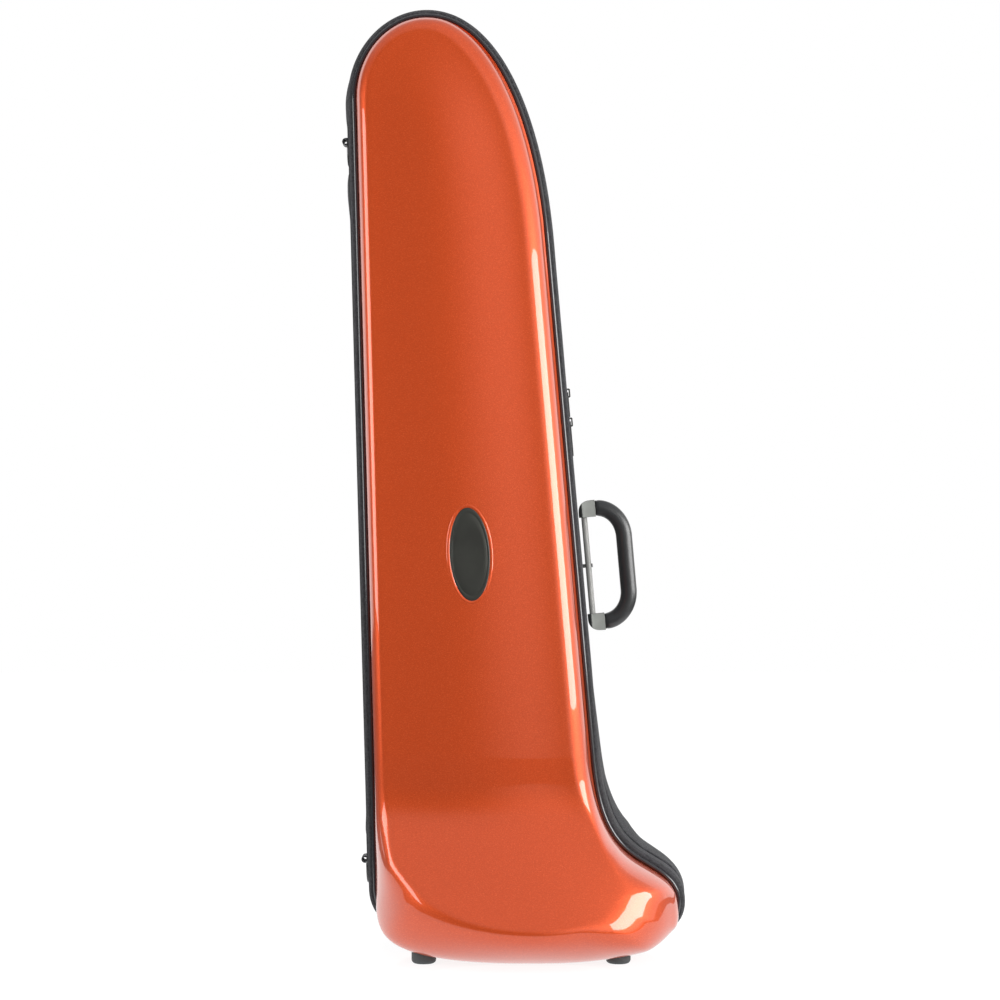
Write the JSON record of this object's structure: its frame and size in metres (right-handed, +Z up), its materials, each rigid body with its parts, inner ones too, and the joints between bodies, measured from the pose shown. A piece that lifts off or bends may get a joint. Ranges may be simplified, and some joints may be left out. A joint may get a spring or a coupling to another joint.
{
  "type": "trombone case",
  "caption": "Upright clamshell case with a glossy moulded lid that swells round the bell, a fabric-covered tray, a zip, a side handle, strap rings and padded blocks inside.",
  "frame": {"origin": "middle of the bounding box on the surface that the feet stand on", "axes": "+X from the hinge side to the handle side, +Y from the moulded front to the back, +Z up"},
  "size_m": [0.345, 0.2796, 0.9386],
  "materials": {
    "paint": "gloss metallic orange lacquer on a moulded shell",
    "cloth": "woven nylon",
    "piping": "glossy black piping",
    "rubber": "satin black rubber",
    "lug": "light grey moulded plastic",
    "steel": "satin steel",
    "slider_metal": "darkened metal",
    "ring": "gloss black coated wire",
    "zip": "moulded zip chain on tape",
    "plush": "short pile lining",
    "foam": "plush-covered foam",
    "webbing": "ribbed webbing",
    "badge": "dark satin plate",
    "plastic": "satin black plastic"
  },
  "bodies": {
    "tray": {"tray_shell": "cloth", "tray_zip_side": "zip", "tray_lining": "plush", "rear_foot_left": "rubber", "rear_foot_right": "rubber", "hinge_welt": "cloth", "slide_strap": "webbing", "neck_strap": "webbing", "divider_wall": "foam", "slide_saddle_lower": "foam", "slide_saddle_upper": "foam", "neck_block": "foam", "tuning_slide_block": "foam", "bell_seat": "foam", "accessory_box": "plastic", "box_hinge_pin": "steel", "handle_rod": "steel", "handle_rod_keeper": "rubber", "strap_tab_upper": "webbing", "strap_tab_lower": "webbing", "back_pocket": "cloth", "pocket_zip": "zip"},
    "lid": {"lid_shell": "paint", "lid_piping": "piping", "lid_band": "cloth", "lid_zip_side": "zip", "lid_lining": "plush", "badge_plate": "badge", "bell_pad": "foam", "front_foot_left": "rubber", "front_foot_right": "rubber"},
    "handle": {"handle_lug_upper": "lug", "handle_lug_lower": "lug", "handle_collar_upper": "rubber", "handle_collar_lower": "rubber", "handle_grip": "rubber"},
    "upper_slider": {"zip_slider_upper": "slider_metal"},
    "upper_pull": {"zip_pull_upper": "slider_metal"},
    "lower_slider": {"zip_slider_lower": "slider_metal"},
    "lower_pull": {"zip_pull_lower": "slider_metal"},
    "upper_ring": {"strap_ring_upper": "ring"},
    "lower_ring": {"strap_ring_lower": "ring"},
    "box_lid": {"accessory_box_lid": "plastic"},
    "pocket_slider": {"pocket_slider": "slider_metal"},
    "pocket_pull": {"pocket_pull": "slider_metal"}
  },
  "joints": [
    {"name": "lid_hinge", "type": "hinge", "parent": "tray", "child": "lid", "pos_m": [-0.15303, 0.02697, 0.45478], "axis": [0.0268, 0, -0.9996], "range_deg": [0, 135]},
    {"name": "handle_swing", "type": "hinge", "parent": "tray", "child": "handle", "pos_m": [0.0765, 0.06697, 0.38344], "axis": [-0.0877, 0, 0.9961], "range_deg": [-75, 75]},
    {"name": "upper_slider_run", "type": "slide", "parent": "tray", "child": "upper_slider", "axis": [-0.0877, 0, 0.9961], "range_m": [0, 0.13]},
    {"name": "upper_pull_swing", "type": "hinge", "parent": "upper_slider", "child": "upper_pull", "pos_m": [0.05431, 0.02697, 0.55683], "axis": [0, -1, 0], "range_deg": [0, 120]},
    {"name": "lower_slider_run", "type": "slide", "parent": "tray", "child": "lower_slider", "axis": [0.0877, 0, -0.9961], "range_m": [0, 0.3]},
    {"name": "lower_pull_swing", "type": "hinge", "parent": "lower_slider", "child": "lower_pull", "pos_m": [0.05686, 0.02697, 0.52783], "axis": [0, -1, 0], "range_deg": [0, 120]},
    {"name": "upper_ring_swing", "type": "hinge", "parent": "tray", "child": "upper_ring", "pos_m": [-0.16882, 0.06097, 0.81162], "axis": [0, 1, 0], "range_deg": [0, 150]},
    {"name": "lower_ring_swing", "type": "hinge", "parent": "tray", "child": "lower_ring", "pos_m": [-0.14937, 0.06097, 0.08762], "axis": [0, 1, 0], "range_deg": [0, 150]},
    {"name": "box_lid_hinge", "type": "hinge", "parent": "tray", "child": "box_lid", "pos_m": [-0.08815, 0.04777, 0.743], "axis": [0, 0, -1], "range_deg": [0, 90]},
    {"name": "pocket_slider_run", "type": "slide", "parent": "tray", "child": "pocket_slider", "axis": [0.0576, 0, -0.9983], "range_m": [0, 0.4]},
    {"name": "pocket_pull_swing", "type": "hinge", "parent": "pocket_slider", "child": "pocket_pull", "pos_m": [0.00393, 0.13697, 0.63968], "axis": [0.9983, 0, 0.0576], "range_deg": [0, 120]}
  ]
}
